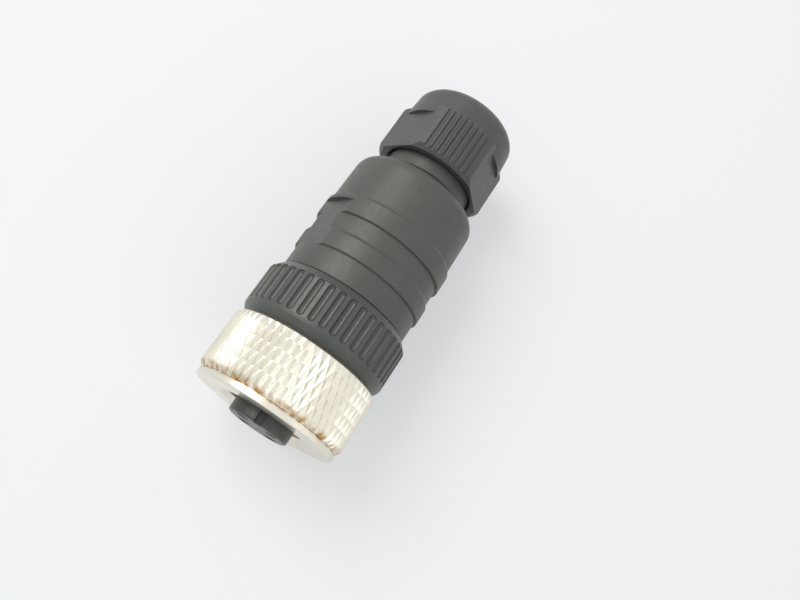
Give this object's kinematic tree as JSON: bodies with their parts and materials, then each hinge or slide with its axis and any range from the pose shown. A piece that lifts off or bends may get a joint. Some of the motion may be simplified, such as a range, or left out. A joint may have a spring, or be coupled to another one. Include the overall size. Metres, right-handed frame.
{
  "type": "circular sensor cable connector",
  "caption": "Straight round cable connector for sensors: knurled metal coupling nut, socket insert with keyway, ribbed plastic collar and shell, and cable gland.",
  "frame": {"origin": "on the common axis, at the front face of the coupling nut", "axes": "+X along the axis out of the mating end, +Z through the insert's keyway, +Y to complete a right-handed frame"},
  "size_m": [0.0499, 0.02, 0.02],
  "materials": {
    "nickel_brass": "satin nickel plating",
    "gilt_brass": "thin gold plating",
    "screw_steel": "zinc plated",
    "spring_steel": "bare spring steel",
    "black_rubber": "matt",
    "insert_plastic": "matt moulded",
    "cage_plastic": "matt moulded",
    "collar_plastic": "satin moulded",
    "housing_plastic": "satin moulded",
    "gland_plastic": "satin moulded"
  },
  "bodies": {
    "housing": {"housing": "housing_plastic"},
    "insert": {"contact_insert": "insert_plastic", "retaining_clip": "spring_steel", "mating_seal": "black_rubber", "socket_contact_1": "gilt_brass", "socket_contact_2": "gilt_brass", "socket_contact_3": "gilt_brass", "socket_contact_4": "gilt_brass"},
    "collar": {"grip_collar": "collar_plastic", "housing_seal": "black_rubber"},
    "nut": {"coupling_nut": "nickel_brass"},
    "screw_1": {"terminal_screw_1": "screw_steel"},
    "screw_2": {"terminal_screw_2": "screw_steel"},
    "screw_3": {"terminal_screw_3": "screw_steel"},
    "screw_4": {"terminal_screw_4": "screw_steel"},
    "cage": {"clamp_cage": "cage_plastic", "cable_seal": "black_rubber"},
    "gland": {"gland_nut": "gland_plastic"}
  },
  "joints": [
    {"name": "insert_slide", "type": "slide", "parent": "housing", "child": "insert", "axis": [1, 0, 0], "range_m": [0, 0.005]},
    {"name": "collar_turn", "type": "hinge", "parent": "insert", "child": "collar", "pos_m": [-0.01212, 0, 0], "axis": [1, 0, 0], "range_deg": [0, 1800.1]},
    {"name": "nut_turn", "type": "hinge", "parent": "insert", "child": "nut", "pos_m": [-0.0045, 0, 0], "axis": [1, 0, 0], "continuous": true},
    {"name": "cage_slide", "type": "slide", "parent": "housing", "child": "cage", "axis": [-1, 0, 0], "range_m": [0, 0.006]},
    {"name": "gland_turn", "type": "hinge", "parent": "cage", "child": "gland", "pos_m": [-0.04054, 0, 0], "axis": [-1, 0, 0], "range_deg": [0, 1440.1]},
    {"name": "screw_1_turn", "type": "hinge", "parent": "insert", "child": "screw_1", "pos_m": [-0.02024, 0.00318, 0.00318], "axis": [0, 0.7071, 0.7071], "continuous": true},
    {"name": "screw_2_turn", "type": "hinge", "parent": "insert", "child": "screw_2", "pos_m": [-0.02024, 0.00318, -0.00318], "axis": [0, 0.7071, -0.7071], "continuous": true},
    {"name": "screw_3_turn", "type": "hinge", "parent": "insert", "child": "screw_3", "pos_m": [-0.02024, -0.00318, -0.00318], "axis": [0, -0.7071, -0.7071], "continuous": true},
    {"name": "screw_4_turn", "type": "hinge", "parent": "insert", "child": "screw_4", "pos_m": [-0.02024, -0.00318, 0.00318], "axis": [0, -0.7071, 0.7071], "continuous": true}
  ],
  "couplings": [
    {"joint": "collar_turn", "follows": "insert_slide", "rad_per_m": 6283.2},
    {"joint": "gland_turn", "follows": "cage_slide", "rad_per_m": 4188.8}
  ]
}
